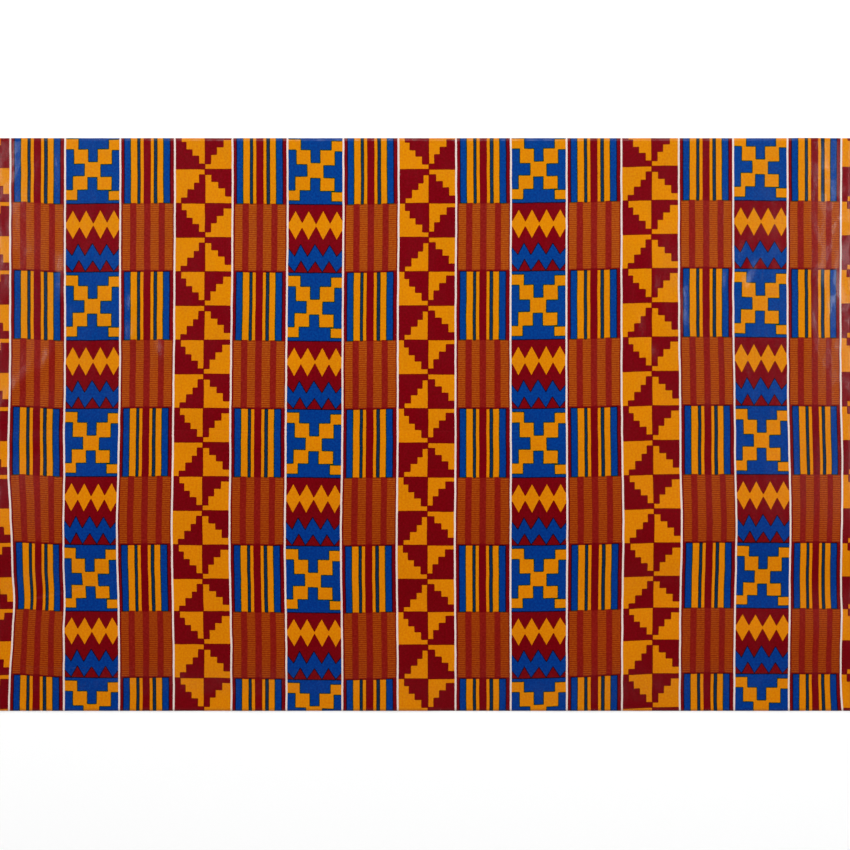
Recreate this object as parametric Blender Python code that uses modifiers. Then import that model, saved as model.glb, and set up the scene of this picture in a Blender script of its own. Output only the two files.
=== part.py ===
"""A cut length of printed cotton cloth, lying on a surface in its own low folds.

The cloth is one sheet. Its underside lies on the surface and leaves it only in the folds.
X runs along the long side, Y along the printed strips, and Z is up, all in metres.
"""

from collections import namedtuple
from math import hypot

import bpy

OBJECT_NAME = "printed_cloth"
COLLECTION_NAME = "printed_cloth_length"

# Size of the cut length
LONG_SIDE = 0.9990
SHORT_SIDE = 0.6714
THICKNESS = 0.001

# Fineness of the sheet, and the share of its faces that stays when flat areas are thinned out
GRID_STEP = 0.005
KEPT_SHARE = 0.075
# What stands less than this above the surface lies on it
TOUCHING = 0.00012
# How near a point of the rim is drawn back to the straight cut edge
RIM_SNAP = 0.0015

COLOUR = (0.262, 0.050, 0.014, 1.0)
ROUGHNESS = 0.45

# A ridge has its crest on the line. A valley has the line as a pressed crease between two low humps:
# VALLEY_GAIN brings the humps up to the stated height, and CREASE_SHARE of the reach rounds the crease.
RIDGE = "ridge"
VALLEY = "valley"
VALLEY_GAIN = 4.15
CREASE_SHARE = 0.08

# Each fold follows a line from start to end, and all its sizes are in millimetres. Its line bows to the
# left at mid length. Left and right are how far it reaches to each side of the line as one walks along
# it, and rise and fade are the lengths over which it comes up and dies away.
MM = 0.001
Fold = namedtuple("Fold", "name kind start end bow height left right rise fade")
FOLDS = (
    Fold("middle crease", VALLEY, (-500, -6), (330, -5), 0, 0.6, 46, 30, 0, 240),
    Fold("lower left swell", RIDGE, (-500, -156), (-330, -122), 4, 6.5, 120, 58, 0, 110),
    Fold("right swell", RIDGE, (60, -158), (500, -128), 6, 4.8, 110, 72, 220, 0),
    Fold("lower swell, left", RIDGE, (-500, -278), (100, -286), 6, 3.0, 76, 46, 0, 340),
    Fold("lower swell, right", RIDGE, (-120, -276), (500, -256), -8, 3.8, 80, 60, 360, 0),
    Fold("upper left ripple", RIDGE, (-468, 336), (-420, 105), -8, 0.8, 30, 36, 0, 120),
    Fold("left ripple", RIDGE, (-500, 16), (-410, 110), 6, 0.8, 30, 28, 0, 80),
    Fold("right edge lift", RIDGE, (446, 336), (458, -20), 4, 1.6, 40, 34, 0, 160),
    Fold("upper right ripple", RIDGE, (252, 250), (296, 30), 7, 1.5, 32, 28, 100, 100),
)


def clear_scene():
    """Removes the startup scene's objects."""
    for obj in list(bpy.data.objects):
        bpy.data.objects.remove(obj, do_unlink=True)


def eased(share):
    """Turns 0 to 1 into a soft 0 to 1, and holds outside."""
    share = min(max(share, 0.0), 1.0)
    return share * share * (3.0 - 2.0 * share)


def fold_height(fold, x, y):
    """Height in millimetres that one fold gives the cloth at x, y, also in millimetres."""
    along_x = fold.end[0] - fold.start[0]
    along_y = fold.end[1] - fold.start[1]
    length = hypot(along_x, along_y)
    along = ((x - fold.start[0]) * along_x + (y - fold.start[1]) * along_y) / length
    aside = ((y - fold.start[1]) * along_x - (x - fold.start[0]) * along_y) / length
    share = min(max(along / length, 0.0), 1.0)
    aside -= 4.0 * fold.bow * share * (1.0 - share)
    reach = fold.left if aside > 0.0 else fold.right
    across = abs(aside) / reach
    if across >= 1.0:
        return 0.0
    swell = (1.0 - across * across) ** 2
    if fold.kind == VALLEY:
        swell *= VALLEY_GAIN * (hypot(across, CREASE_SHARE) - CREASE_SHARE)
    if fold.rise:
        swell *= eased(along / fold.rise)
    if fold.fade:
        swell *= eased((length - along) / fold.fade)
    return fold.height * swell


def cloth_height(x, y):
    """Height of the underside at x, y: where folds meet, their heights add up."""
    return MM * sum(fold_height(fold, x / MM, y / MM) for fold in FOLDS)


def snapped(value, edge):
    """Draws a point of the rim back to the straight cut edge."""
    if abs(abs(value) - edge) < RIM_SNAP:
        return edge if value > 0.0 else -edge
    return value


def apply_modifier(obj, modifier):
    """Applies a modifier to its object's mesh."""
    with bpy.context.temp_override(object=obj, active_object=obj, selected_objects=[obj]):
        bpy.ops.object.modifier_apply(modifier=modifier.name)


def make_sheet():
    """The underside of the cloth: a fine grid raised in its folds, then thinned where it is flat."""
    bpy.ops.mesh.primitive_grid_add(
        x_subdivisions=round(LONG_SIDE / GRID_STEP),
        y_subdivisions=round(SHORT_SIDE / GRID_STEP),
        size=1.0,
    )
    sheet = bpy.context.active_object
    sheet.name = OBJECT_NAME
    sheet.data.name = OBJECT_NAME
    for vertex in sheet.data.vertices:
        x = vertex.co.x * LONG_SIDE
        y = vertex.co.y * SHORT_SIDE
        vertex.co = (x, y, cloth_height(x, y))
    thinned = sheet.modifiers.new("thin out flat areas", "DECIMATE")
    thinned.decimate_type = "COLLAPSE"
    thinned.ratio = KEPT_SHARE
    apply_modifier(sheet, thinned)
    for vertex in sheet.data.vertices:
        x = snapped(vertex.co.x, LONG_SIDE / 2)
        y = snapped(vertex.co.y, SHORT_SIDE / 2)
        z = vertex.co.z if vertex.co.z > TOUCHING else 0.0
        vertex.co = (x, y, z)
    sheet.data.shade_smooth()
    return sheet


def give_thickness(sheet):
    """Adds the cloth's thickness above its underside."""
    solid = sheet.modifiers.new("thickness", "SOLIDIFY")
    solid.thickness = THICKNESS
    solid.offset = 1.0


def give_material(sheet):
    """One plain finish in the cloth's mean colour."""
    material = bpy.data.materials.new("printed_cotton")
    material.use_nodes = True
    shader = material.node_tree.nodes["Principled BSDF"]
    shader.inputs["Base Color"].default_value = COLOUR
    shader.inputs["Roughness"].default_value = ROUGHNESS
    shader.inputs["Metallic"].default_value = 0.0
    material.diffuse_color = COLOUR
    sheet.data.materials.append(material)


def put_in_collection(obj):
    """Keeps the object in a collection named for it."""
    collection = bpy.data.collections.new(COLLECTION_NAME)
    bpy.context.scene.collection.children.link(collection)
    for old in list(obj.users_collection):
        old.objects.unlink(obj)
    collection.objects.link(obj)


def main():
    clear_scene()
    sheet = make_sheet()
    give_thickness(sheet)
    give_material(sheet)
    put_in_collection(sheet)


main()
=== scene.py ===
# %% [markdown]
# # A cut length of wax print cotton
# The object is one sheet of plain-weave cotton, printed all over with the patterns of woven strip
# cloth and glazed so that it shines softly. It lies flat on a table, with a pressed crease across
# its middle and a few low folds near its lower edge. We load the frame, which is the plain solid
# that the cloth has to lie on.

# %% Load the frame
from collections import namedtuple

import bpy
import numpy as np
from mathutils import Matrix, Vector, noise


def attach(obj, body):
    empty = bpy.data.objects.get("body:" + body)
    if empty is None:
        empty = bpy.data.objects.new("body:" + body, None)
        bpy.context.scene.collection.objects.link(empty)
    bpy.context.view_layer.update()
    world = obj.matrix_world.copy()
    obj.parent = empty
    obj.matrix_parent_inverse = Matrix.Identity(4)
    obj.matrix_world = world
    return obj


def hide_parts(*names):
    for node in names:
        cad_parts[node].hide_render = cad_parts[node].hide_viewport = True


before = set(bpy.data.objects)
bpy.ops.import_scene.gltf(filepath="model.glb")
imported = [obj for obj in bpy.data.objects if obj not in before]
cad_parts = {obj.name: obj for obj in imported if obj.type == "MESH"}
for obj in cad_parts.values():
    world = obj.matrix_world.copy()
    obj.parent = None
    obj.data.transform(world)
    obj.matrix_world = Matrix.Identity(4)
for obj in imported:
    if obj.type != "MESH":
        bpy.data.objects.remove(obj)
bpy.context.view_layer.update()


# %% [markdown]
# ## Camera
# The photograph looks straight down on the cloth, whose short sides lie just outside the picture. A
# long lens from far away keeps the edges straight. A camera with no rotation looks down the Z axis
# with Y up in the picture, so it only needs a place, and its distance follows from the lens.

# %% Camera
LENS_MM = 85.0
SENSOR_MM = 36.0
PICTURE_WIDTH = 0.9970
PICTURE_MIDDLE = (0.0, -0.0006)

camera_data = bpy.data.cameras.new("photo_camera")
camera_data.lens = LENS_MM
camera_data.sensor_width = SENSOR_MM
camera = bpy.data.objects.new("photo_camera", camera_data)
camera.location = (*PICTURE_MIDDLE, PICTURE_WIDTH * LENS_MM / SENSOR_MM)
bpy.context.scene.collection.objects.link(camera)
bpy.context.scene.camera = camera
print("camera height in metres:", round(camera.location.z, 3))

# %% [markdown]
# ## Floor
# The cloth lies on a plain white table. One large plane is enough. Its finish is rough and nearly
# white, with no pattern, so that nothing draws the eye from the print.

# %% Floor
FLOOR_SIZE = 14.0
FLOOR_DROP = 0.0002
FLOOR_WHITE = 0.90
FLOOR_GLOW = 0.24
FLOOR_ROUGHNESS = 0.8
FLOOR_MIRRORING = 0.1

bpy.ops.object.select_all(action="DESELECT")
bpy.ops.mesh.primitive_plane_add(size=FLOOR_SIZE, location=(0.0, 0.0, -FLOOR_DROP))
floor = bpy.context.active_object
floor.name = "floor"
floor_finish = bpy.data.materials.new("white_table")
floor_finish.use_nodes = True
floor_shader = floor_finish.node_tree.nodes["Principled BSDF"]
floor_shader.inputs["Base Color"].default_value = (FLOOR_WHITE, FLOOR_WHITE, FLOOR_WHITE, 1.0)
floor_shader.inputs["Roughness"].default_value = FLOOR_ROUGHNESS
floor_shader.inputs["Specular IOR Level"].default_value = FLOOR_MIRRORING
floor_shader.inputs["Emission Color"].default_value = (1.0, 1.0, 1.0, 1.0)
floor_shader.inputs["Emission Strength"].default_value = FLOOR_GLOW
floor.data.materials.append(floor_finish)
print("floor side in metres:", FLOOR_SIZE)

# %% [markdown]
# ## Light
# The shine on the cloth sits along its upper side edges. A camera straight above sees a lamp
# mirrored only where the cloth leans half way towards it. So a soft lamp stands beyond each side
# edge, and the folds and rumples that lean towards it shine. A strong lamp beyond the upper edge
# lights the upper part more than the lower, and a weak wide one beyond the lower edge fills in. The
# world is as bright as pale walls at the sides and dark overhead, so that flat cloth stays clear.

# %% Lamps
# The place in metres, the width and the depth of each lamp, and its power
Lamp = namedtuple("Lamp", "name place size watts")
LAMPS = (
    Lamp("lamp_left", (-1.45, 0.50, 1.65), (0.75, 0.75), 13.2),
    Lamp("lamp_right", (1.38, 0.28, 1.65), (0.65, 0.65), 12.4),
    Lamp("lamp_top", (0.0, 1.75, 1.50), (1.4, 1.4), 21.2),
    Lamp("lamp_lower", (0.0, -1.05, 1.70), (1.6, 0.25), 2.2),
)
WALL_LIGHT = 0.60
CEILING_LIGHT = 0.035
# How far up a wall ends and the ceiling begins, as the sine of the angle above the floor
WALL_TOP = 0.45
CEILING_EDGE = 0.90


def add_lamp(lamp):
    """A soft lamp that faces the middle of the cloth."""
    data = bpy.data.lights.new(lamp.name, "AREA")
    data.energy = lamp.watts
    data.shape = "RECTANGLE"
    data.size, data.size_y = lamp.size
    obj = bpy.data.objects.new(lamp.name, data)
    obj.location = lamp.place
    obj.rotation_euler = Vector(lamp.place).to_track_quat("Z", "Y").to_euler()
    bpy.context.scene.collection.objects.link(obj)


for lamp in LAMPS:
    add_lamp(lamp)
world = bpy.data.worlds.new("pale_room")
world.use_nodes = True
room = world.node_tree
direction = room.nodes.new("ShaderNodeTexCoord")
height = room.nodes.new("ShaderNodeSeparateXYZ")
room.links.new(direction.outputs["Generated"], height.inputs[0])
walls = room.nodes.new("ShaderNodeMapRange")
walls.interpolation_type = "SMOOTHSTEP"
walls.inputs["From Min"].default_value = WALL_TOP
walls.inputs["From Max"].default_value = CEILING_EDGE
walls.inputs["To Min"].default_value = WALL_LIGHT
walls.inputs["To Max"].default_value = CEILING_LIGHT
room.links.new(height.outputs["Z"], walls.inputs["Value"])
room.nodes["Background"].inputs["Color"].default_value = (1.0, 1.0, 1.0, 1.0)
room.links.new(walls.outputs["Result"], room.nodes["Background"].inputs["Strength"])
bpy.context.scene.world = world
bpy.context.scene.view_settings.view_transform = "Standard"
print("lamps:", len(LAMPS))

# %% [markdown]
# ## Folds
# Cloth that was folded and put away keeps its creases: a valley is a pressed line between two low
# humps, and a ridge is a soft swell. Each is one row of a table, in millimetres, that says where
# its line runs, how high it is, how far it reaches to its left and right, and over what length it
# comes up and dies away. These are the folds of the solid that the cloth lies on. The last one, a
# dimple, and the small rumples along the sides are too low for the solid, but the shine finds them.

# %% The folds' table
MM = 0.001
RIDGE = "ridge"
VALLEY = "valley"
# The gain brings a valley's humps up to its height, and the share of its reach rounds its crease
VALLEY_GAIN = 4.15
CREASE_SHARE = 0.08
Fold = namedtuple("Fold", "name kind start end bow height left right rise fade")
FOLDS = (
    Fold("middle crease", VALLEY, (-500, -6), (330, -5), 0, 0.6, 46, 30, 0, 240),
    Fold("lower left swell", RIDGE, (-500, -156), (-330, -122), 4, 6.5, 120, 58, 0, 110),
    Fold("right swell", RIDGE, (60, -158), (500, -128), 6, 4.8, 110, 72, 220, 0),
    Fold("lower swell, left", RIDGE, (-500, -278), (100, -286), 6, 3.0, 76, 46, 0, 340),
    Fold("lower swell, right", RIDGE, (-120, -276), (500, -256), -8, 3.8, 80, 60, 360, 0),
    Fold("upper left ripple", RIDGE, (-468, 336), (-420, 105), -8, 0.8, 30, 36, 0, 120),
    Fold("left ripple", RIDGE, (-500, 16), (-410, 110), 6, 0.8, 30, 28, 0, 80),
    Fold("right edge lift", RIDGE, (446, 336), (458, -20), 4, 1.6, 40, 34, 0, 160),
    Fold("upper right ripple", RIDGE, (252, 250), (296, 30), 7, 1.5, 32, 28, 100, 100),
    Fold("slanting dimple", VALLEY, (-185, -131), (-80, -96), 0, 1.0, 36, 34, 50, 50),
)
# The middle of each rumple, its length, how far its upper end leans to the right, how far it reaches
# to each side and how high it is. One with a height below zero is a hollow.
Rumple = namedtuple("Rumple", "x y length lean reach height")
RUMPLES = (
    Rumple(-474, 310, 70, 4, 11, 0.6),
    Rumple(-448, 300, 60, 0, 12, 0.6),
    Rumple(-424, 295, 60, -4, 12, 0.8),
    Rumple(-421, 188, 50, -8, 15, 1.7),
    Rumple(-420, 158, 46, 4, 13, 1.4),
    Rumple(-487, 196, 40, 4, 12, 1.0),
    Rumple(-488, 160, 40, -4, 12, 0.8),
    Rumple(-411, 134, 50, 3, 9, 0.6),
    Rumple(-474, 50, 50, 44, 10, 0.9),
    Rumple(-443, 74, 50, 24, 10, 0.9),
    Rumple(-340, 108, 46, 2, 12, 1.6),
    Rumple(-342, 142, 40, -2, 10, 1.2),
    Rumple(-303, 86, 40, -20, 13, 1.7),
    Rumple(264, 163, 50, 3, 13, 1.1),
    Rumple(248, 119, 46, 0, 12, 1.3),
    Rumple(262, 84, 46, 2, 13, 1.8),
    Rumple(299, 142, 90, 3, 10, 0.8),
    Rumple(345, 169, 40, 0, 10, 0.8),
    Rumple(379, 184, 40, 0, 8, 0.8),
    Rumple(369, 170, 34, 10, 14, 1.5),
    Rumple(451, 134, 84, 2, 10, 0.8),
    Rumple(473, 140, 90, 3, 11, 0.5),
    Rumple(486, 200, 44, 3, 12, 0.5),
    Rumple(489, 112, 40, -4, 11, 0.8),
    Rumple(490, 44, 24, 8, 8, 0.7),
    Rumple(-447, 232, 80, -16, 30, -0.5),
    Rumple(446, 236, 110, -2, 36, -0.9),
)


def rumple_as_fold(rumple):
    """A rumple is a short ridge that comes up and dies away over its half length."""
    half = rumple.length / 2
    foot = (rumple.x - rumple.lean / 2, rumple.y - half)
    top = (rumple.x + rumple.lean / 2, rumple.y + half)
    return Fold("rumple", RIDGE, foot, top, 0, rumple.height, rumple.reach, rumple.reach, half, half)


def eased(share):
    """Turns 0 to 1 into a soft 0 to 1, and holds outside."""
    share = np.clip(share, 0.0, 1.0)
    return share * share * (3.0 - 2.0 * share)


def fold_height(fold, x, y):
    """Height that one fold gives the cloth at x, y, all in millimetres."""
    line = np.subtract(fold.end, fold.start)
    length = np.hypot(*line)
    along = ((x - fold.start[0]) * line[0] + (y - fold.start[1]) * line[1]) / length
    aside = ((y - fold.start[1]) * line[0] - (x - fold.start[0]) * line[1]) / length
    share = np.clip(along / length, 0.0, 1.0)
    aside = aside - 4.0 * fold.bow * share * (1.0 - share)
    across = np.clip(np.abs(aside) / np.where(aside > 0.0, fold.left, fold.right), 0.0, 1.0)
    swell = (1.0 - across**2) ** 2
    if fold.kind == VALLEY:
        swell = swell * VALLEY_GAIN * (np.hypot(across, CREASE_SHARE) - CREASE_SHARE)
    if fold.rise:
        swell = swell * eased(along / fold.rise)
    if fold.fade:
        swell = swell * eased((length - along) / fold.fade)
    return fold.height * swell


print("folds:", len(FOLDS), "rumples:", len(RUMPLES))

# %% [markdown]
# ## Ripples
# Between its folds cotton is never quite flat: it lies in shallow ripples that only the shine
# shows. Smooth noise in two sizes makes them, a millimetre high at most, and stretched along Y,
# because the cloth was rolled about that direction.

# %% Ripples
# How long a ripple's waves are across and along the strips, and how high it is
Ripple = namedtuple("Ripple", "across along height")
RIPPLES = (Ripple(95, 150, 0.9), Ripple(34, 60, 0.22))
# Each ripple reads the noise at a height of its own, this far from the next
LAYERS_APART = 10.0


def ripple_height(x, y):
    """Height of the small ripples at one point, in millimetres, never below zero."""
    total = 0.0
    for layer, ripple in enumerate(RIPPLES):
        place = Vector((x / ripple.across, y / ripple.along, LAYERS_APART * layer))
        total += ripple.height * 0.5 * (1.0 + noise.noise(place))
    return total


print("height of ripples in mm:", sum(ripple.height for ripple in RIPPLES))

# %% [markdown]
# ## The sheet
# A grid from the Add menu is the flat cloth, with squares of 3 to 5 mm. It starts as a unit square,
# so that a point's place is its share of the long or the short side. Its columns are then drawn
# closer together towards the sides, and its rows towards the crease, because the smallest folds lie
# there. Last, each point is lifted by the folds, the rumples and the ripples.

# %% The sheet
LONG_SIDE = 0.9990
SHORT_SIDE = 0.6714
COLUMNS = 264
ROWS = 180
SIDES_CLOSER = 0.04
CREASE_Y = -5.0
CREASE_CLOSER = 0.5
CREASE_REACH = 14.0

bpy.ops.object.select_all(action="DESELECT")
bpy.ops.mesh.primitive_grid_add(x_subdivisions=COLUMNS, y_subdivisions=ROWS, size=1.0)
cloth = bpy.context.active_object
cloth.name = "wax_print_cloth"
points = np.array([vertex.co for vertex in cloth.data.vertices])
x_mm = (points[:, 0] + SIDES_CLOSER * np.sin(2.0 * np.pi * points[:, 0])) * LONG_SIDE / MM
y_mm = points[:, 1] * SHORT_SIDE / MM
from_crease = y_mm - CREASE_Y
y_mm = y_mm - CREASE_CLOSER * from_crease * np.exp(-((from_crease / CREASE_REACH) ** 2))
z_mm = sum(fold_height(fold, x_mm, y_mm) for fold in FOLDS)
z_mm = z_mm + sum(fold_height(rumple_as_fold(rumple), x_mm, y_mm) for rumple in RUMPLES)
z_mm = z_mm + np.array([ripple_height(x, y) for x, y in zip(x_mm, y_mm)])
points = np.stack([x_mm, y_mm, z_mm], axis=1) * MM
cloth.data.vertices.foreach_set("co", points.astype(np.float32).ravel())
cloth.data.update()
print("points:", len(points), "highest in mm:", round(float(z_mm.max()), 2))

# %% [markdown]
# ## Where the print lies
# The print was made on flat cloth, so it has to be laid out along the cloth and not seen from
# above. A UV map holds, for each point, how far it is from the middle and from the top edge when
# one walks along the folded surface. The map is in metres, which keeps the pattern's sizes real.
# Cloth also stretches and skews a little as it is woven, printed and pulled straight, so short
# tables shift the print by a few millimetres, and soft tugs move it at single places.

# %% How the print is drawn in, skewed and taken up
# The share by which the cloth drew in, both ways, after it was printed
DRAWN_IN = 0.0089
# Distance from the top edge in mm, and the share by which the print is narrower than the cloth there
NARROWED = (
    (0, 0.0085), (300, 0.0070), (390, 0.0020), (450, -0.0025),
    (500, -0.0010), (600, 0.0060), (680, 0.0045),
)
# Distance right of the middle in mm, and how far the print lies to the right of its true place
SHIFTED = (
    (-500, 1.0), (-390, 1.0), (-310, 0.0), (-170, -0.1), (-30, 0.7),
    (120, 1.1), (190, 1.9), (330, 1.9), (400, 0.5), (450, -0.4),
)
# Distance right of the middle in mm, and how far the print's rows lie below their true place
LOWERED = (
    (-500, -0.5), (-472, -0.4), (-430, 2.1), (-310, 1.0), (-240, 1.3), (-100, 3.2), (-30, 1.6),
    (115, 1.5), (186, 0.4), (257, -2.0), (328, -2.2), (400, -1.6), (500, -1.0),
)
# Distance right of the middle in mm, and how many mm of print are taken up near the lower edge
TAKEN_UP = ((-500, 5.6), (-130, 3.4), (130, 3.8), (270, 5.8), (500, 6.0))
TAKE_UP_FROM = 505.0
TAKE_UP_OVER = 100.0
# Places where the cloth was tugged: the middle of each, how far it reaches, and how far it moved
Tug = namedtuple("Tug", "name place reach moved")
TUGS = (
    Tug("lower left edge", (-500, -165), (100, 130), (8.0, 0.0)),
    Tug("lower right edge", (500, -150), (80, 130), (-5.5, 0.0)),
    Tug("right edge", (500, 60), (45, 400), (-2.6, 0.0)),
    Tug("left of the middle", (-230, 20), (150, 150), (-1.3, 0.0)),
    Tug("right of the middle", (330, 30), (90, 100), (1.4, 0.0)),
    Tug("lower left", (-440, -100), (75, 110), (3.0, 0.0)),
    Tug("lower left corner", (-500, -262), (70, 70), (2.4, 0.0)),
    Tug("lower right corner", (500, -285), (60, 80), (-3.8, 0.0)),
    Tug("lower right", (420, -130), (90, 100), (-1.6, 0.0)),
    Tug("above the middle", (-60, 270), (370, 170), (1.1, 0.0)),
    Tug("below the middle", (-20, -150), (430, 140), (-1.0, 0.0)),
    Tug("above the left swell", (-450, -120), (110, 100), (0.0, -1.6)),
    Tug("right half, above", (150, 190), (380, 190), (0.0, -0.8)),
    Tug("right half, below", (200, -70), (320, 140), (0.0, 1.3)),
    Tug("at the slanting line", (-450, -206), (120, 38), (1.7, 0.0)),
)


def tugged(tug, x, y):
    """Share of a tug that reaches x, y: one at its middle, and none beyond its reach."""
    away = ((x - tug.place[0]) / tug.reach[0]) ** 2 + ((y - tug.place[1]) / tug.reach[1]) ** 2
    return (1.0 - np.clip(away, 0.0, 1.0)) ** 2


def read_row(table, place):
    """Reads a two-column table between its rows."""
    places, values = zip(*table)
    return np.interp(place, places, values)


def walked(grid, steps, axis):
    """Length walked over the surface along one axis of the grid, from its start."""
    rise = np.diff(grid, axis=axis)
    length = np.hypot(rise, np.diff(steps, axis=axis))
    return np.concatenate([np.zeros_like(np.take(grid, [0], axis)), np.cumsum(length, axis)], axis)


# The grid's points run along X first, from the lower edge to the upper
shape = (ROWS + 1, COLUMNS + 1)
x_grid, y_grid, z_grid = (values.reshape(shape) for values in (x_mm, y_mm, z_mm))
across = walked(z_grid, x_grid, axis=1)
across = across - across[:, [COLUMNS // 2]]
up = walked(z_grid, y_grid, axis=0)
down = up[[-1], :] - up
print_x = across * (1.0 + DRAWN_IN) * (1.0 + read_row(NARROWED, down)) - read_row(SHIFTED, x_grid)
print_y = down * (1.0 + DRAWN_IN) - read_row(LOWERED, x_grid)
print_y = print_y + read_row(TAKEN_UP, x_grid) * eased((down - TAKE_UP_FROM) / TAKE_UP_OVER)
for tug in TUGS:
    share = tugged(tug, x_grid, y_grid)
    print_x = print_x - share * tug.moved[0]
    print_y = print_y - share * tug.moved[1]

uv_map = cloth.data.uv_layers[0]
uv_map.name = "print"
corner_points = np.zeros(len(cloth.data.loops), np.int32)
cloth.data.loops.foreach_get("vertex_index", corner_points)
uv = np.stack([print_x.ravel(), print_y.ravel()], axis=1)[corner_points] * MM
uv_map.uv.foreach_set("vector", uv.astype(np.float32).ravel())
print("cloth walked from top to bottom, in mm:", round(float(down.max()), 1))

# %% [markdown]
# ## Thickness
# Printed cotton is about a third of a millimetre thick. Solidify gives the sheet its back and its
# cut edge, and hands each of them a material slot of its own.

# %% Thickness
THICKNESS = 0.00035

for slot_name in ("print_front", "print_back", "cut_edge"):
    cloth.data.materials.append(bpy.data.materials.new(slot_name))
cloth.data.shade_smooth()
thick = cloth.modifiers.new("thickness", "SOLIDIFY")
thick.thickness = THICKNESS
thick.offset = 1.0
thick.material_offset = 1
thick.material_offset_rim = 2
bpy.ops.object.select_all(action="DESELECT")
cloth.select_set(True)
bpy.context.view_layer.objects.active = cloth
bpy.ops.object.modifier_apply(modifier=thick.name)
print("faces of the cloth:", len(cloth.data.polygons))

# %% [markdown]
# ## Colours
# The printer used five dyes on white cotton: maroon, gold, blue, a dark blue and orange. Maroon over
# orange makes the brick columns and, thinly, the ribs. Dyes are given as the eye sees them, from 0
# to 255, and turned into the linear values that shaders use.

# %% Colours


def dye(red, green, blue):
    """A colour from 0 to 255 as the linear colour that a shader takes."""
    shares = (channel / 255.0 for channel in (red, green, blue))
    return (*(s / 12.92 if s <= 0.04045 else ((s + 0.055) / 1.055) ** 2.4 for s in shares), 1.0)


MAROON = dye(120, 0, 13)
GOLD = dye(220, 133, 0)
BLUE = dye(0, 59, 138)
NAVY = dye(18, 44, 84)
ORANGE = dye(175, 81, 15)
RIB = dye(141, 45, 2)
BRICK = dye(137, 23, 18)
WHITE = dye(234, 215, 207)
print("maroon in linear values:", [round(channel, 3) for channel in MAROON])

# %% [markdown]
# ## Building a pattern with nodes
# The print is worked out by nodes from the UV map, with no picture. Small helpers add a node each:
# a sum, a choice between two colours, and a ramp that reads a table. A ramp with constant steps is
# a row of stripes, or a staircase.

# %% Helpers for nodes
MIX_SHARE, MIX_FIRST, MIX_SECOND, MIX_RESULT = 0, 6, 7, 2


def feed(tree, socket, value):
    """Gives a socket a plain value, or links another socket to it."""
    if isinstance(value, bpy.types.NodeSocket):
        tree.links.new(value, socket)
    else:
        socket.default_value = value


def calc(tree, operation, *values):
    """One Math node, such as ADD, LESS_THAN or COMPARE."""
    node = tree.nodes.new("ShaderNodeMath")
    node.operation = operation
    for socket, value in zip(node.inputs, values):
        feed(tree, socket, value)
    return node.outputs[0]


def choose(tree, share, first, second, blend="MIX"):
    """The first colour where share is 0, and the second where it is 1."""
    node = tree.nodes.new("ShaderNodeMix")
    node.data_type = "RGBA"
    node.blend_type = blend
    feed(tree, node.inputs[MIX_SHARE], share)
    feed(tree, node.inputs[MIX_FIRST], first)
    feed(tree, node.inputs[MIX_SECOND], second)
    return node.outputs[MIX_RESULT]


def ramp(tree, value, stops, interpolation="CONSTANT"):
    """Reads (place, colour) stops, with places from 0 to 1."""
    node = tree.nodes.new("ShaderNodeValToRGB")
    node.color_ramp.interpolation = interpolation
    elements = node.color_ramp.elements
    elements.remove(elements[1])
    elements[0].position, elements[0].color = stops[0]
    for place, colour in stops[1:]:
        elements.new(place).color = colour
    feed(tree, node.inputs[0], value)
    return node.outputs[0]


def grey(value):
    """A number as the colour that a ramp's stop takes."""
    return (value, value, value, 1.0)


print("helpers for nodes are ready")

# %% [markdown]
# ## Layout of the print
# The cloth copies strips that were woven apart and sewn side by side. Four strips repeat: a plain
# one, one with crosses and diamonds, the plain one again, and one with steps, each between white
# lines. Blocks of one height share the rows, and every second row is the same. So we find, for each
# point, how far right it is in its repeat of four strips, and how far down in its pair of blocks.
# A slow and a fine noise first shift the point a little, as hand-cut blocks and bleeding dye do.
# The colour is also darkened towards the lower edge as painted shade, so we find the share of that
# shade.

# %% Layout
BLOCK = 80.8
PLAIN_WIDTH = 65.4
CROSS_WIDTH = 66.1
STEP_WIDTH = 68.6
WHITE_LINE = 3.2
CROSS_START = PLAIN_WIDTH
SECOND_PLAIN_START = PLAIN_WIDTH + CROSS_WIDTH
STEP_START = 2 * PLAIN_WIDTH + CROSS_WIDTH
REPEAT = STEP_START + STEP_WIDTH
# The white line on the left of the middle stepped strip, right of the cloth's middle
MIDDLE_STEP_LINE = -33.2
# The top of the uppermost whole row of ribbed blocks, below the cloth's top edge
FIRST_ROW = 75.8
WAVER = 0.45
WAVER_SIZE = 28.0
BLEED = 0.14
BLEED_SIZE = 1.6
# How far below the top edge the painted shade begins, and where it is darkest
PAINTED_SHADE_FROM = 120.0
PAINTED_SHADE_DARKEST = 520.0

print_group = bpy.data.node_groups.new("strip_print", "ShaderNodeTree")
print_group.interface.new_socket("Place", in_out="INPUT", socket_type="NodeSocketVector")
print_group.interface.new_socket("Colour", in_out="OUTPUT", socket_type="NodeSocketColor")
print_group.interface.new_socket("Ribs", in_out="OUTPUT", socket_type="NodeSocketFloat")


def noise_at(tree, vector, size_mm, detail=2.0, stretch=(1.0, 1.0)):
    """Noise with features of about size_mm, from the print's coordinates in metres."""
    mapping = tree.nodes.new("ShaderNodeMapping")
    mapping.inputs["Scale"].default_value = (stretch[0], stretch[1], 1.0)
    tree.links.new(vector, mapping.inputs["Vector"])
    node = tree.nodes.new("ShaderNodeTexNoise")
    node.noise_dimensions = "2D"
    node.inputs["Scale"].default_value = 1.0 / (size_mm * MM)
    node.inputs["Detail"].default_value = detail
    tree.links.new(mapping.outputs["Vector"], node.inputs["Vector"])
    return node


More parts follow.
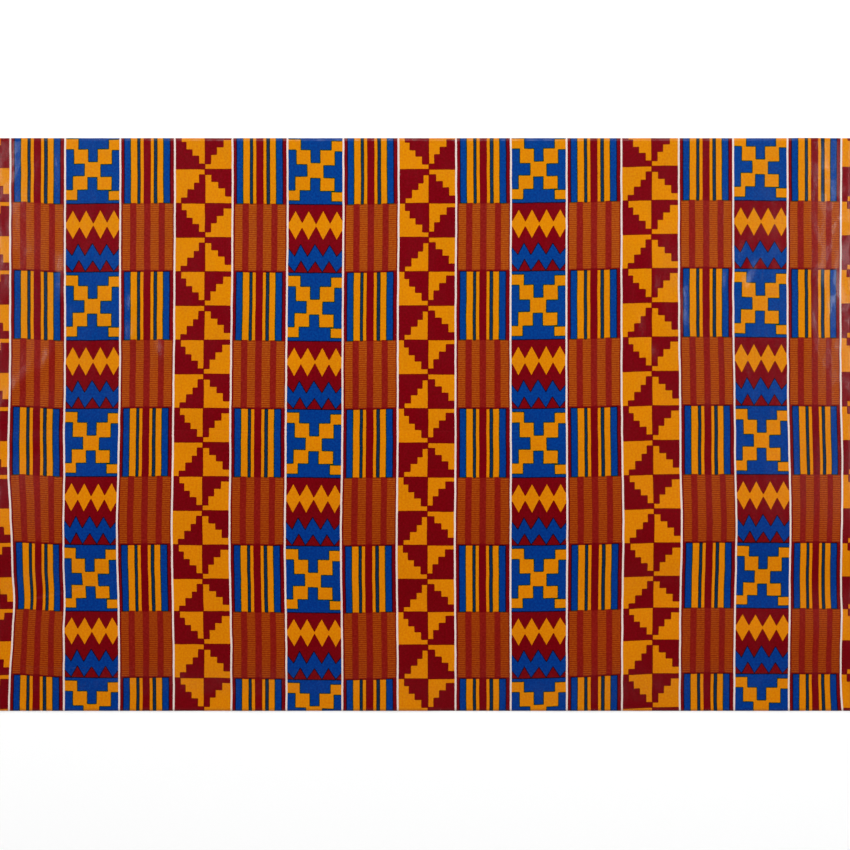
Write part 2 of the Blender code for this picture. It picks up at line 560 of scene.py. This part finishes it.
def unevenly_cut(tree, vector):
    """The place on the print in mm, moved a little by the two noises."""
    parts = tree.nodes.new("ShaderNodeSeparateXYZ")
    tree.links.new(vector, parts.inputs[0])
    places = [calc(tree, "DIVIDE", parts.outputs[axis], MM) for axis in ("X", "Y")]
    for amount, size in ((WAVER, WAVER_SIZE), (BLEED, BLEED_SIZE)):
        split = tree.nodes.new("ShaderNodeSeparateColor")
        tree.links.new(noise_at(tree, vector, size).outputs["Color"], split.inputs[0])
        for axis in range(2):
            swing = calc(tree, "SUBTRACT", split.outputs[axis], 0.5)
            places[axis] = calc(tree, "MULTIPLY_ADD", swing, 2.0 * amount, places[axis])
    joined = tree.nodes.new("ShaderNodeCombineXYZ")
    for socket, place in zip(joined.inputs, places):
        tree.links.new(place, socket)
    return joined.outputs[0]


def painted_shade_towards_bottom(tree, down):
    """0 at the top, and 1 near the lower edge, where the painted shade is darkest."""
    node = tree.nodes.new("ShaderNodeMapRange")
    node.interpolation_type = "SMOOTHSTEP"
    node.inputs["From Min"].default_value = PAINTED_SHADE_FROM
    node.inputs["From Max"].default_value = PAINTED_SHADE_DARKEST
    tree.links.new(down, node.inputs["Value"])
    return node.outputs["Result"]


group_start = print_group.nodes.new("NodeGroupInput")
place_parts = print_group.nodes.new("ShaderNodeSeparateXYZ")
print_group.links.new(group_start.outputs["Place"], place_parts.inputs[0])
right_mm = place_parts.outputs["X"]
down_mm = place_parts.outputs["Y"]
in_repeats = calc(print_group, "ADD", right_mm, STEP_START - MIDDLE_STEP_LINE)
in_repeat = calc(print_group, "FLOORED_MODULO", in_repeats, REPEAT)
below_first = calc(print_group, "SUBTRACT", down_mm, FIRST_ROW)
in_pair = calc(print_group, "FLOORED_MODULO", below_first, 2 * BLOCK)
in_block = calc(print_group, "FLOORED_MODULO", in_pair, BLOCK)
second_block = calc(print_group, "GREATER_THAN", in_pair, BLOCK)
# Share of the painted shade, which darkens the colour towards the lower edge
painted_shade_share = painted_shade_towards_bottom(print_group, down_mm)
print("width of a repeat in mm:", round(REPEAT, 1))

# %% [markdown]
# ## The plain strip: ribbed and striped blocks
# A ribbed block imitates thick weft threads over narrow columns, as fine dark lines on orange with
# three plain brick columns. A striped block has blue, gold and dark blue stripes on maroon. Both
# are rows of stripes across the strip, so a ramp holds each as a table of places in millimetres.
# The ribs are worked out by themselves, because they are laid over the finished print later on.

# %% The plain strip
RIB_PITCH = 2.525
BLOCK_LINE = 1.7
RIBBED = (
    (0, MAROON), (2.3, ORANGE), (12.2, BRICK), (18.9, ORANGE), (29.0, BRICK),
    (35.9, ORANGE), (46.5, BRICK), (53.0, ORANGE), (63.2, MAROON),
)
# How strong the ribs are on each of those columns
RIB_COLUMNS = (
    (0, 0), (2.3, 1), (12.2, 0.25), (18.9, 1), (29.0, 0.15),
    (35.9, 1), (46.5, 0.25), (53.0, 1), (63.2, 0),
)
STRIPED = (
    (0, MAROON), (4.7, BLUE), (12.5, GOLD), (20.7, NAVY), (24.0, GOLD), (28.6, MAROON),
    (36.2, GOLD), (40.4, NAVY), (44.0, GOLD), (51.8, BLUE), (59.6, MAROON),
)
# The ribs' swing from thin to thick, their mean strength, and how both darken as painted shade below
RIB_SWING = 0.80
RIB_SWING_LOST_TO_SHADE = 0.35
RIB_STRENGTH = 0.20
RIB_STRENGTH_GAINED_TO_SHADE = 0.40


def striped(tree, place, width, rows):
    """A ramp across the strip from rows of (millimetres, colour or number)."""
    stops = [(mm / width, value if isinstance(value, tuple) else grey(value)) for mm, value in rows]
    return ramp(tree, calc(tree, "DIVIDE", place, width), stops)


def rib_lines(tree, place):
    """How much of the dark rib shows at a place across the strip, in mm."""
    ribs = calc(tree, "SINE", calc(tree, "MULTIPLY", in_block, 2.0 * np.pi / RIB_PITCH))
    # Towards the lower edge the ribs run together and darken the colour, as painted shade
    swing = calc(tree, "MULTIPLY_ADD", painted_shade_share, -RIB_SWING_LOST_TO_SHADE, RIB_SWING)
    strength = calc(tree, "MULTIPLY_ADD", painted_shade_share, RIB_STRENGTH_GAINED_TO_SHADE, RIB_STRENGTH)
    ribs = calc(tree, "MAXIMUM", calc(tree, "MULTIPLY_ADD", ribs, swing, strength), 0.0)
    ribs = calc(tree, "MULTIPLY", ribs, striped(tree, place, PLAIN_WIDTH, RIB_COLUMNS))
    above = calc(tree, "LESS_THAN", in_pair, BLOCK - BLOCK_LINE)
    return calc(tree, "MULTIPLY", ribs, above)


def plain_strip(tree, place):
    """Colour of the plain strip at a place across it, in mm."""
    under = calc(tree, "GREATER_THAN", in_block, BLOCK - BLOCK_LINE)
    ribbed = choose(tree, under, striped(tree, place, PLAIN_WIDTH, RIBBED), MAROON)
    return choose(tree, second_block, ribbed, striped(tree, place, PLAIN_WIDTH, STRIPED))


second_place = calc(print_group, "SUBTRACT", in_repeat, SECOND_PLAIN_START)
is_second = calc(print_group, "GREATER_THAN", second_place, 0.0)
plain_place = calc(print_group, "MULTIPLY_ADD", is_second, -SECOND_PLAIN_START, in_repeat)
plain_colour = plain_strip(print_group, plain_place)
print("stripes in a striped block:", len(STRIPED))

# %% [markdown]
# ## The strip with crosses and diamonds
# A cross is nine gold squares on blue, each of its own size, as a hand cuts them. A Compare node
# is 1 where two numbers lie within a distance of each other, so two of them make a rectangle.
# Under it four tall diamonds stand side by side over a blue zigzag. A diamond is where the shares
# of its half width and half height add up to less than one. The zigzag lies between two broken
# lines, which are ramps with straight stretches between their stops.

# %% Crosses
Square = namedtuple("Square", "left right top bottom")
CROSS = (
    Square(-10.0, 9.4, -9.0, 9.2),
    Square(-22.6, -5.4, -24.2, -6.8),
    Square(5.6, 23.1, -24.2, -6.0),
    Square(-24.0, -6.2, 7.4, 23.9),
    Square(5.2, 22.6, 8.6, 24.3),
    Square(-40.0, -17.0, -36.7, -24.0),
    Square(18.9, 40.0, -35.1, -22.6),
    Square(-40.0, -18.4, 23.8, 36.0),
    Square(18.7, 40.0, 25.3, 36.7),
)


def within(tree, value, low_end, high_end):
    """1 where a value lies between two numbers."""
    return calc(tree, "COMPARE", value, (low_end + high_end) / 2, (high_end - low_end) / 2)


def cross_block(tree, from_middle, below_middle):
    """Gold squares on blue."""
    inside = 0.0
    for square in CROSS:
        wide = within(tree, from_middle, square.left, square.right)
        tall = within(tree, below_middle, square.top, square.bottom)
        inside = calc(tree, "MULTIPLY_ADD", wide, tall, inside)
    return choose(tree, calc(tree, "MINIMUM", inside, 1.0), BLUE, GOLD)


cross_place = calc(print_group, "SUBTRACT", in_repeat, CROSS_START)
cross_colour = cross_block(
    print_group,
    calc(print_group, "SUBTRACT", cross_place, CROSS_WIDTH / 2),
    calc(print_group, "SUBTRACT", in_block, BLOCK / 2),
)
print("squares in a cross:", len(CROSS))

# %% Diamonds and zigzag
DIAMOND_CENTRES = (9.3, 25.0, 42.3, 58.4)
DIAMOND_HALF = (9.6, 17.7)
DIAMOND_DOWN = 24.8
# The points of the zigzag's upper and lower line, across the strip and down the block
ZIGZAG_TOP = (
    (0, 50.8), (8.6, 61.4), (15.6, 47.2), (23.8, 61.6), (32.6, 46.8),
    (42.0, 61.4), (49.9, 47.8), (58.4, 61.4), (66.1, 52.0),
)
ZIGZAG_FOOT = (
    (0, 70.2), (8.8, 80.2), (16.4, 66.6), (24.2, 80.2), (33.2, 67.4),
    (41.8, 80.2), (49.6, 67.0), (58.2, 80.2), (66.1, 70.6),
)


def broken_line(tree, place, rows):
    """Height of a line of straight stretches, from rows of (across, down) in mm."""
    stops = [(right / CROSS_WIDTH, grey(below / BLOCK)) for right, below in rows]
    share = ramp(tree, calc(tree, "DIVIDE", place, CROSS_WIDTH), stops, "LINEAR")
    return calc(tree, "MULTIPLY", share, BLOCK)


def diamond_block(tree, place):
    """Gold diamonds over a blue zigzag, on maroon."""
    tall = calc(tree, "ABSOLUTE", calc(tree, "SUBTRACT", in_block, DIAMOND_DOWN))
    tall = calc(tree, "DIVIDE", tall, DIAMOND_HALF[1])
    inside = 0.0
    for centre in DIAMOND_CENTRES:
        wide = calc(tree, "ABSOLUTE", calc(tree, "SUBTRACT", place, centre))
        both = calc(tree, "MULTIPLY_ADD", wide, 1.0 / DIAMOND_HALF[0], tall)
        inside = calc(tree, "MAXIMUM", calc(tree, "LESS_THAN", both, 1.0), inside)
    colour = choose(tree, inside, MAROON, GOLD)
    below = calc(tree, "GREATER_THAN", in_block, broken_line(tree, place, ZIGZAG_TOP))
    above = calc(tree, "LESS_THAN", in_block, broken_line(tree, place, ZIGZAG_FOOT))
    return choose(tree, calc(tree, "MULTIPLY", below, above), colour, BLUE)


diamond_colour = diamond_block(print_group, cross_place)
cross_strip_colour = choose(print_group, second_block, diamond_colour, cross_colour)
print("diamonds across the strip:", len(DIAMOND_CENTRES))

# %% [markdown]
# ## The stepped strip
# Here gold and maroon triangles with stepped sides turn about each other in half-height rows. In
# each half of a row a staircase parts the two colours, and a ramp with constant steps gives, for
# each depth in the row, how far across the step reaches. Two rows alternate, and in every second
# repeat gold and maroon change places.

# %% The stepped strip
HALF_BLOCK = BLOCK / 2
STEP_MIDDLE = 36.0
STAIR_SPAN = 50.0
# Depth in the row, and how far right of the half's left side the step reaches from there on
FIRST_LEFT = ((0, 7.9), (8.4, 13.6), (17.5, 20.6), (24.8, 28.5), (34.1, 36.0))
FIRST_RIGHT = ((0, 50.0), (5.3, 21.5), (14.2, 13.4), (22.9, 6.7), (34.0, 0.0))
SECOND_LEFT = ((0, 50.0), (6.5, 29.2), (16.3, 23.2), (24.4, 15.4), (34.0, 7.8))
SECOND_RIGHT = ((0, 0.0), (6.2, 8.0), (14.6, 16.0), (22.0, 23.8), (31.6, 50.0))


def stairs(tree, depth, rows):
    """How far across a staircase reaches at a depth in the row, in mm."""
    stops = [(mm / HALF_BLOCK, grey(reach / STAIR_SPAN)) for mm, reach in rows]
    share = ramp(tree, calc(tree, "DIVIDE", depth, HALF_BLOCK), stops)
    return calc(tree, "MULTIPLY", share, STAIR_SPAN)


def stepped_strip(tree, place):
    """Gold and maroon stepped triangles."""
    depth = calc(tree, "FLOORED_MODULO", in_block, HALF_BLOCK)
    second_row = calc(tree, "GREATER_THAN", in_block, HALF_BLOCK)
    right_half = calc(tree, "GREATER_THAN", place, STEP_MIDDLE)
    from_middle = calc(tree, "SUBTRACT", place, STEP_MIDDLE)
    first = choose(
        tree,
        right_half,
        calc(tree, "LESS_THAN", place, stairs(tree, depth, FIRST_LEFT)),
        calc(tree, "LESS_THAN", from_middle, stairs(tree, depth, FIRST_RIGHT)),
    )
    second = choose(
        tree,
        right_half,
        calc(tree, "GREATER_THAN", place, stairs(tree, depth, SECOND_LEFT)),
        calc(tree, "GREATER_THAN", from_middle, stairs(tree, depth, SECOND_RIGHT)),
    )
    gold = choose(tree, second_row, first, second)
    repeat_number = calc(tree, "FLOOR", calc(tree, "DIVIDE", in_repeats, REPEAT))
    odd_repeat = calc(tree, "MODULO", calc(tree, "ABSOLUTE", repeat_number), 2.0)
    swapped = calc(tree, "ABSOLUTE", calc(tree, "SUBTRACT", gold, odd_repeat))
    return choose(tree, swapped, MAROON, GOLD)


step_place = calc(print_group, "SUBTRACT", in_repeat, STEP_START)
step_colour = stepped_strip(print_group, step_place)
print("steps in a staircase:", len(FIRST_LEFT))

# %% [markdown]
# ## Strips side by side, and the white lines
# Now each strip takes its own part of the repeat, and white lines cover the joints between them.
# The ribs are kept to the plain strips, and leave the group by a socket of their own.

# %% Strips and white lines
in_cross = within(print_group, in_repeat, CROSS_START, SECOND_PLAIN_START)
in_step = calc(print_group, "GREATER_THAN", in_repeat, STEP_START)
strips = choose(print_group, in_cross, plain_colour, cross_strip_colour)
strips = choose(print_group, in_step, strips, step_colour)
on_line = 0.0
for line_place in (0.0, CROSS_START, SECOND_PLAIN_START, STEP_START, REPEAT):
    near = calc(print_group, "COMPARE", in_repeat, line_place, WHITE_LINE / 2)
    on_line = calc(print_group, "MAXIMUM", near, on_line)
printed = choose(print_group, on_line, strips, WHITE)
beside_plain = calc(print_group, "MAXIMUM", calc(print_group, "MAXIMUM", in_cross, in_step), on_line)
ribs = calc(print_group, "SUBTRACT", rib_lines(print_group, plain_place), beside_plain)
group_end = print_group.nodes.new("NodeGroupOutput")
print_group.links.new(printed, group_end.inputs["Colour"])
print_group.links.new(calc(print_group, "MAXIMUM", ribs, 0.0), group_end.inputs["Ribs"])
print("nodes in the print:", len(print_group.nodes))

# %% [markdown]
# ## Dyes over one another
# On real wax print each dye runs a little over the next, and a fine dark line stands round every
# shape. So the print is laid four times, moved a little up, down, left and right, and the darkest
# colour is kept at each point. The ribs are laid on after that, or they would run together.

# %% Dyes over one another
OVERPRINT = 1.05


def overprinted(tree, place):
    """The print where each dye runs a little over the next, which leaves a dark line between them."""
    colour = None
    half = OVERPRINT / 2
    for shift in ((half, 0.0), (-half, 0.0), (0.0, half), (0.0, -half)):
        moved = tree.nodes.new("ShaderNodeVectorMath")
        moved.operation = "ADD"
        moved.inputs[1].default_value = (*shift, 0.0)
        tree.links.new(place, moved.inputs[0])
        group = tree.nodes.new("ShaderNodeGroup")
        group.node_tree = print_group
        tree.links.new(moved.outputs[0], group.inputs["Place"])
        pull = group.outputs["Colour"]
        colour = pull if colour is None else choose(tree, 1.0, colour, pull, "DARKEN")
    return choose(tree, group.outputs["Ribs"], colour, RIB)


print("each dye runs over the next by mm:", OVERPRINT / 2)

# %% [markdown]
# ## Uneven dye, and painted shade towards the lower edge
# A thick thread takes more dye than a thin one, and one speck more than the next. More dye darkens
# a dark colour more than a pale one, which is what a Gamma node does, so the specks go through one.
# The same node darkens the colour towards the lower edge as painted shade, where less light falls.
# A slow noise adds paler and darker patches.

# %% Uneven dye
SLUB_SIZE = 0.8
SLUB_STRETCH = 0.06
SLUB_TONE = 0.08
PATCH_SIZE = 70.0
PATCH_TONE = 0.16
SPECK_SIZE = 2.4
SPECKS = 0.45
PAINTED_SHADE_GAMMA = 0.08
PALE_THREAD = dye(206, 190, 178)


def thick_threads(tree, vector):
    """Noise drawn out along both thread directions, near 1 on average."""
    warp = noise_at(tree, vector, SLUB_SIZE, stretch=(1.0, SLUB_STRETCH)).outputs["Fac"]
    weft = noise_at(tree, vector, SLUB_SIZE, stretch=(SLUB_STRETCH, 1.0)).outputs["Fac"]
    return calc(tree, "ADD", warp, weft)


def around_zero(tree, vector, size_mm):
    """Noise of one size that swings about zero."""
    return calc(tree, "SUBTRACT", noise_at(tree, vector, size_mm).outputs["Fac"], 0.5)


def dyed(tree, vector, slubs, painted_shade_here, fade):
    """The print as it took on this cloth, with painted shade below: fade pales it, from 0 to 1."""
    colour = overprinted(tree, unevenly_cut(tree, vector))
    tone = calc(tree, "MULTIPLY_ADD", slubs, SLUB_TONE, 1.0 - SLUB_TONE)
    tone = calc(tree, "MULTIPLY_ADD", around_zero(tree, vector, PATCH_SIZE), PATCH_TONE, tone)
    colour = choose(tree, 1.0, colour, tone, "MULTIPLY")
    # Painted shade: the Gamma node darkens the colour towards the lower edge
    amount = calc(tree, "MULTIPLY_ADD", painted_shade_here, PAINTED_SHADE_GAMMA, 1.0)
    amount = calc(tree, "MULTIPLY_ADD", around_zero(tree, vector, SPECK_SIZE), SPECKS, amount)
    strength = tree.nodes.new("ShaderNodeGamma")
    tree.links.new(colour, strength.inputs["Color"])
    tree.links.new(amount, strength.inputs["Gamma"])
    return choose(tree, fade, strength.outputs["Color"], PALE_THREAD)


print("size of a speck of dye in mm:", SPECK_SIZE)

# %% [markdown]
# ## Weave and pressed lines
# Two sets of waves, one along each direction of the threads, cross to make a plain weave. Pressed
# lines are left from an old folding. They are thinner than the squares of our sheet, so they are
# part of the surface's bump: each is a row of a table, and a Mapping node turns it along X.

# %% Weave and pressed lines
THREAD_PITCH = 0.42
THREAD_WAVER = 0.6
# The share of a pressed line's reach over which its sides are rounded off
LINE_SOFTNESS = 0.3
# A wave texture's bands repeat about every 0.31 units of scale
WAVE_BAND = 0.314
# Thin pressed lines: start and end right of the middle and below the top edge, in mm
PressedLine = namedtuple("PressedLine", "start end reach fade depth")
PRESSED_LINES = (
    PressedLine((-520, 344), (345, 344), 1.6, 200.0, 0.16),
    PressedLine((-520, 556), (-335, 515), 3.0, 60.0, 0.40),
    PressedLine((-520, 632), (-325, 630), 1.8, 50.0, 0.16),
    PressedLine((436, 532), (468, 521), 1.6, 12.0, 0.16),
)


def weave(tree, vector):
    """Height of the woven threads, from 0 to 1: two sets of waves cross."""
    heights = []
    for direction in ("X", "Y"):
        wave = tree.nodes.new("ShaderNodeTexWave")
        wave.bands_direction = direction
        wave.inputs["Scale"].default_value = WAVE_BAND / (THREAD_PITCH * MM)
        wave.inputs["Distortion"].default_value = THREAD_WAVER
        tree.links.new(vector, wave.inputs["Vector"])
        heights.append(wave.outputs["Fac"])
    return calc(tree, "MULTIPLY", *heights)


def pressed_line(tree, vector, line):
    """Height of a thin valley along a straight line: 0 beside it and -1 at its bottom."""
    run = np.subtract(line.end, line.start)
    length = float(np.hypot(*run))
    # A Mapping node of this type moves the line's start to the middle and turns the line along X
    turned = tree.nodes.new("ShaderNodeMapping")
    turned.vector_type = "TEXTURE"
    turned.inputs["Location"].default_value = (line.start[0] * MM, line.start[1] * MM, 0.0)
    turned.inputs["Rotation"].default_value = (0.0, 0.0, float(np.arctan2(run[1], run[0])))
    turned.inputs["Scale"].default_value = (MM, MM, 1.0)
    tree.links.new(vector, turned.inputs["Vector"])
    parts = tree.nodes.new("ShaderNodeSeparateXYZ")
    tree.links.new(turned.outputs[0], parts.inputs[0])
    aside = calc(tree, "DIVIDE", calc(tree, "ABSOLUTE", parts.outputs["Y"]), line.reach)
    beside = calc(tree, "SMOOTH_MIN", aside, 1.0, LINE_SOFTNESS)
    from_middle = calc(tree, "ABSOLUTE", calc(tree, "SUBTRACT", parts.outputs["X"], length / 2))
    inside = calc(tree, "DIVIDE", calc(tree, "SUBTRACT", length / 2, from_middle), line.fade)
    inside = calc(tree, "MINIMUM", calc(tree, "MAXIMUM", inside, 0.0), 1.0)
    return calc(tree, "MULTIPLY", calc(tree, "SUBTRACT", beside, 1.0), inside)


print("pressed lines:", len(PRESSED_LINES))

# %% [markdown]
# ## Surface relief
# Handling leaves faint crumples, and rubbing leaves fine streaks along the strips in some places.
# Both show only in the shine. They are summed with the threads, in millimetres, and one Bump node
# turns the sum into small tilts of the surface.

# %% Surface relief
CRUMPLE_SIZE = 26.0
CRUMPLE_STRETCH = (1.0, 0.45)
CRUMPLE_HEIGHT = 0.5
STREAK_SIZE = 4.0
STREAK_STRETCH = (1.0, 0.22)
STREAK_DETAIL = 3.0
RUB_SIZE = 60.0
RUB_HEIGHT = 0.075
RUBBED = ((0.40, grey(0.15)), (0.60, grey(1.0)))
SLUB_HEIGHT = 0.02
THREAD_HEIGHT = 0.012


def surface_relief(tree, vector, slubs):
    """The normal of the surface with its crumples, streaks, threads and pressed lines."""
    crumple = noise_at(tree, vector, CRUMPLE_SIZE, stretch=CRUMPLE_STRETCH).outputs["Fac"]
    streak = noise_at(tree, vector, STREAK_SIZE, STREAK_DETAIL, STREAK_STRETCH).outputs["Fac"]
    rubbed = ramp(tree, noise_at(tree, vector, RUB_SIZE).outputs["Fac"], RUBBED, "EASE")
    relief = calc(tree, "MULTIPLY", crumple, CRUMPLE_HEIGHT)
    relief = calc(tree, "MULTIPLY_ADD", calc(tree, "MULTIPLY", streak, rubbed), RUB_HEIGHT, relief)
    relief = calc(tree, "MULTIPLY_ADD", slubs, SLUB_HEIGHT, relief)
    relief = calc(tree, "MULTIPLY_ADD", weave(tree, vector), THREAD_HEIGHT, relief)
    for line in PRESSED_LINES:
        relief = calc(tree, "MULTIPLY_ADD", pressed_line(tree, vector, line), line.depth, relief)
    bump = tree.nodes.new("ShaderNodeBump")
    bump.inputs["Distance"].default_value = MM
    tree.links.new(relief, bump.inputs["Height"])
    return bump.outputs["Normal"]


print("height of the crumples in mm:", CRUMPLE_HEIGHT)

# %% [markdown]
# ## Glaze, and the finished cloth
# Wax print cotton is ironed with starch and wax until it shines softly. The base is middling rough
# and mirrors little, and a coat lies over it for the glaze, worn in clouds and thinner towards the
# lower edge. The back and the cut edge have no glaze and are paler, because less dye reached them.

# %% Glaze, and the finished cloth
ROUGH_SIZE = 45.0
SMOOTHEST = 0.26
ROUGHER = 0.10
BASE_MIRRORING = 0.10
COAT_ROUGHNESS = 0.15
GLAZE_SIZE = 10.0
GLAZE_STRETCH = (1.0, 0.4)
GLAZE_DETAIL = 5.0
GLAZE_CLOUDS = ((0.46, grey(0.06)), (0.58, grey(1.0)))
GLAZE_THINNED = 0.7


def worn_glaze(tree, vector, painted_shade_here, shine):
    """The coat's weight: clouds up to the given shine, and less towards the lower edge."""
    cloud = noise_at(tree, vector, GLAZE_SIZE, GLAZE_DETAIL, GLAZE_STRETCH).outputs["Fac"]
    cloud = ramp(tree, cloud, GLAZE_CLOUDS, "EASE")
    most = calc(tree, "MULTIPLY_ADD", painted_shade_here, -GLAZE_THINNED * shine, shine)
    return calc(tree, "MULTIPLY", cloud, most)


def finish_cloth(material, fade, shine):
    """The woven, printed and glazed surface: fade pales the dye, and shine is the coat's weight."""
    material.use_nodes = True
    tree = material.node_tree
    shader = tree.nodes["Principled BSDF"]
    place = tree.nodes.new("ShaderNodeUVMap")
    place.uv_map = "print"
    vector = place.outputs["UV"]
    place_parts = tree.nodes.new("ShaderNodeSeparateXYZ")
    tree.links.new(vector, place_parts.inputs[0])
    # Share of the painted shade towards the lower edge, which also thins the glaze
    painted_shade_here = painted_shade_towards_bottom(tree, calc(tree, "DIVIDE", place_parts.outputs["Y"], MM))
    slubs = thick_threads(tree, vector)
    tree.links.new(dyed(tree, vector, slubs, painted_shade_here, fade), shader.inputs["Base Color"])
    rough = noise_at(tree, vector, ROUGH_SIZE).outputs["Fac"]
    rough = calc(tree, "MULTIPLY_ADD", rough, ROUGHER, SMOOTHEST)
    tree.links.new(rough, shader.inputs["Roughness"])
    normal = surface_relief(tree, vector, slubs)
    tree.links.new(normal, shader.inputs["Normal"])
    tree.links.new(normal, shader.inputs["Coat Normal"])
    shader.inputs["Specular IOR Level"].default_value = BASE_MIRRORING
    shader.inputs["Coat Roughness"].default_value = COAT_ROUGHNESS
    if shine:
        tree.links.new(worn_glaze(tree, vector, painted_shade_here, shine), shader.inputs["Coat Weight"])


finish_cloth(bpy.data.materials["print_front"], fade=0.0, shine=0.46)
finish_cloth(bpy.data.materials["print_back"], fade=0.16, shine=0.0)
finish_cloth(bpy.data.materials["cut_edge"], fade=0.45, shine=0.0)
print("materials of the cloth:", [material.name for material in cloth.data.materials])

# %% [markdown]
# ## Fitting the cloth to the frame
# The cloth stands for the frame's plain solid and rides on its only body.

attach(cloth, "root")
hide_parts("printed_cloth")
